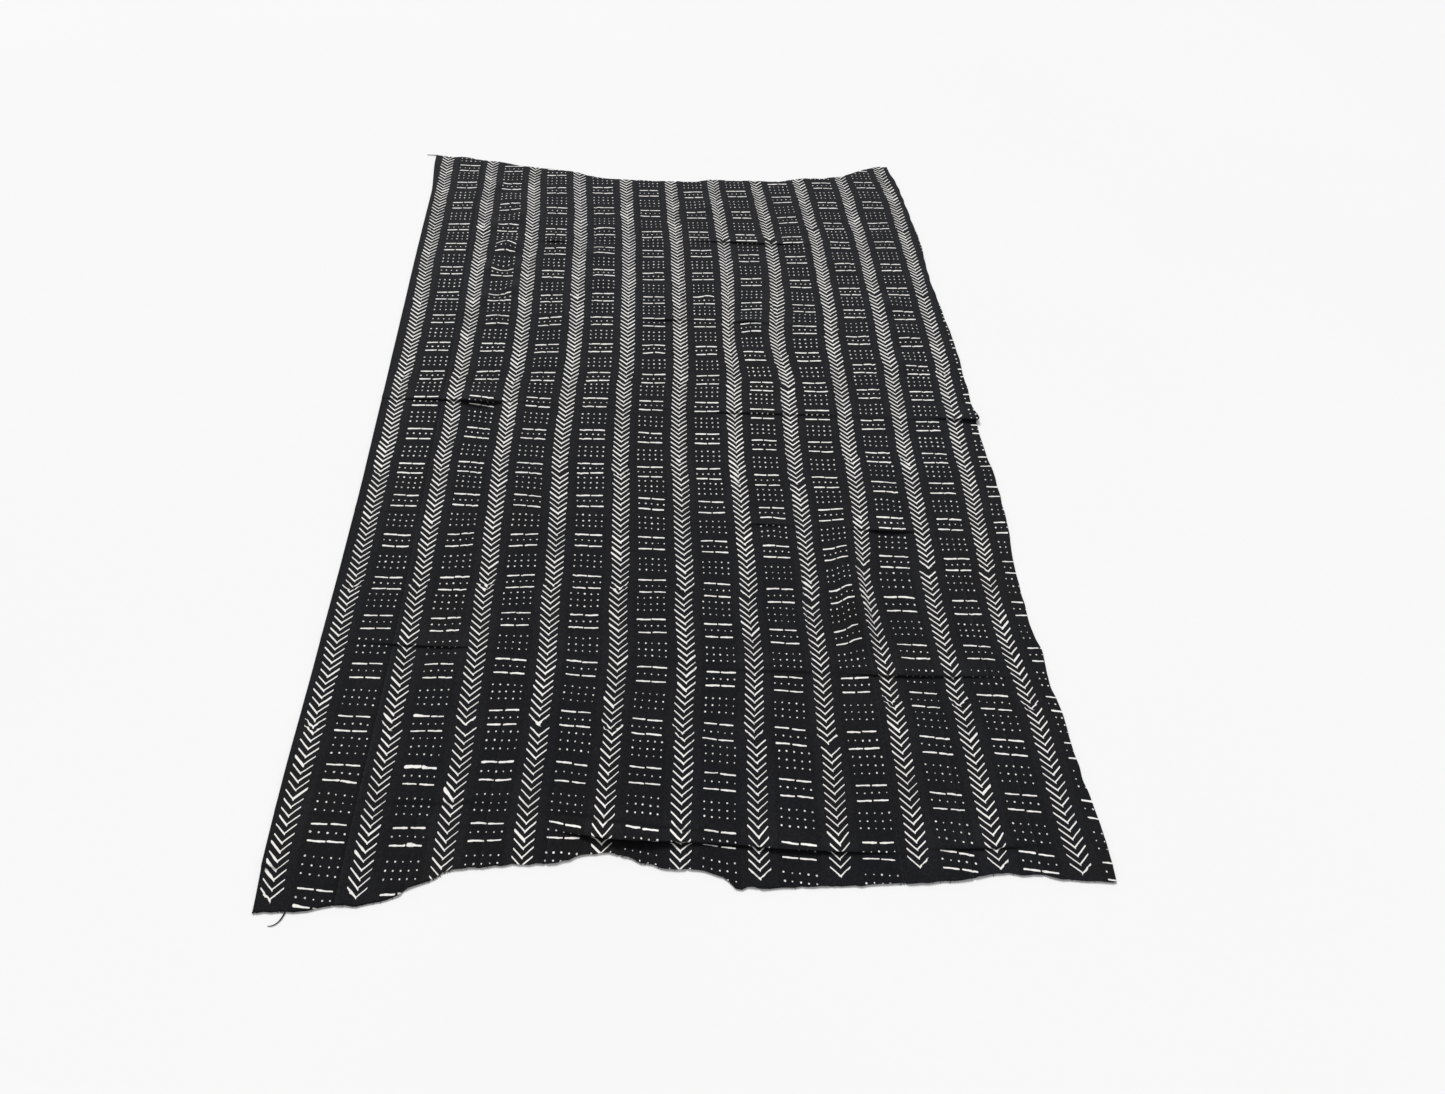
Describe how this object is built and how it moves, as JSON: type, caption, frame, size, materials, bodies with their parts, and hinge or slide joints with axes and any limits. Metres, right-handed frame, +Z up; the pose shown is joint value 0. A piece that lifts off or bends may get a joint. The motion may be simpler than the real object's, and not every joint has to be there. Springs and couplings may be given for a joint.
{
  "type": "mud cloth",
  "caption": "Dark hand-woven cotton mud cloth laid flat, of narrow strips sewn side by side, with pale painted chevrons, dashes and dots, uneven cut ends and low storage creases.",
  "frame": {"origin": "on the surface that the cloth lies on, under the middle of its bounding box", "axes": "+Z up out of the surface, +Y along the strips from the near cut end to the far one, +X across the strips to the right"},
  "size_m": [1.1394, 1.73, 0.0134],
  "materials": {
    "dyed_cotton": "hand-woven cotton dyed charcoal black, matt, with off-white painted marks"
  },
  "bodies": {
    "root": {"strip_01": "dyed_cotton", "strip_02": "dyed_cotton", "strip_03": "dyed_cotton", "strip_04": "dyed_cotton", "strip_05": "dyed_cotton", "strip_06": "dyed_cotton", "strip_07": "dyed_cotton", "strip_08": "dyed_cotton", "strip_09": "dyed_cotton", "strip_10": "dyed_cotton", "strip_11": "dyed_cotton", "strip_12": "dyed_cotton"}
  },
  "joints": []
}
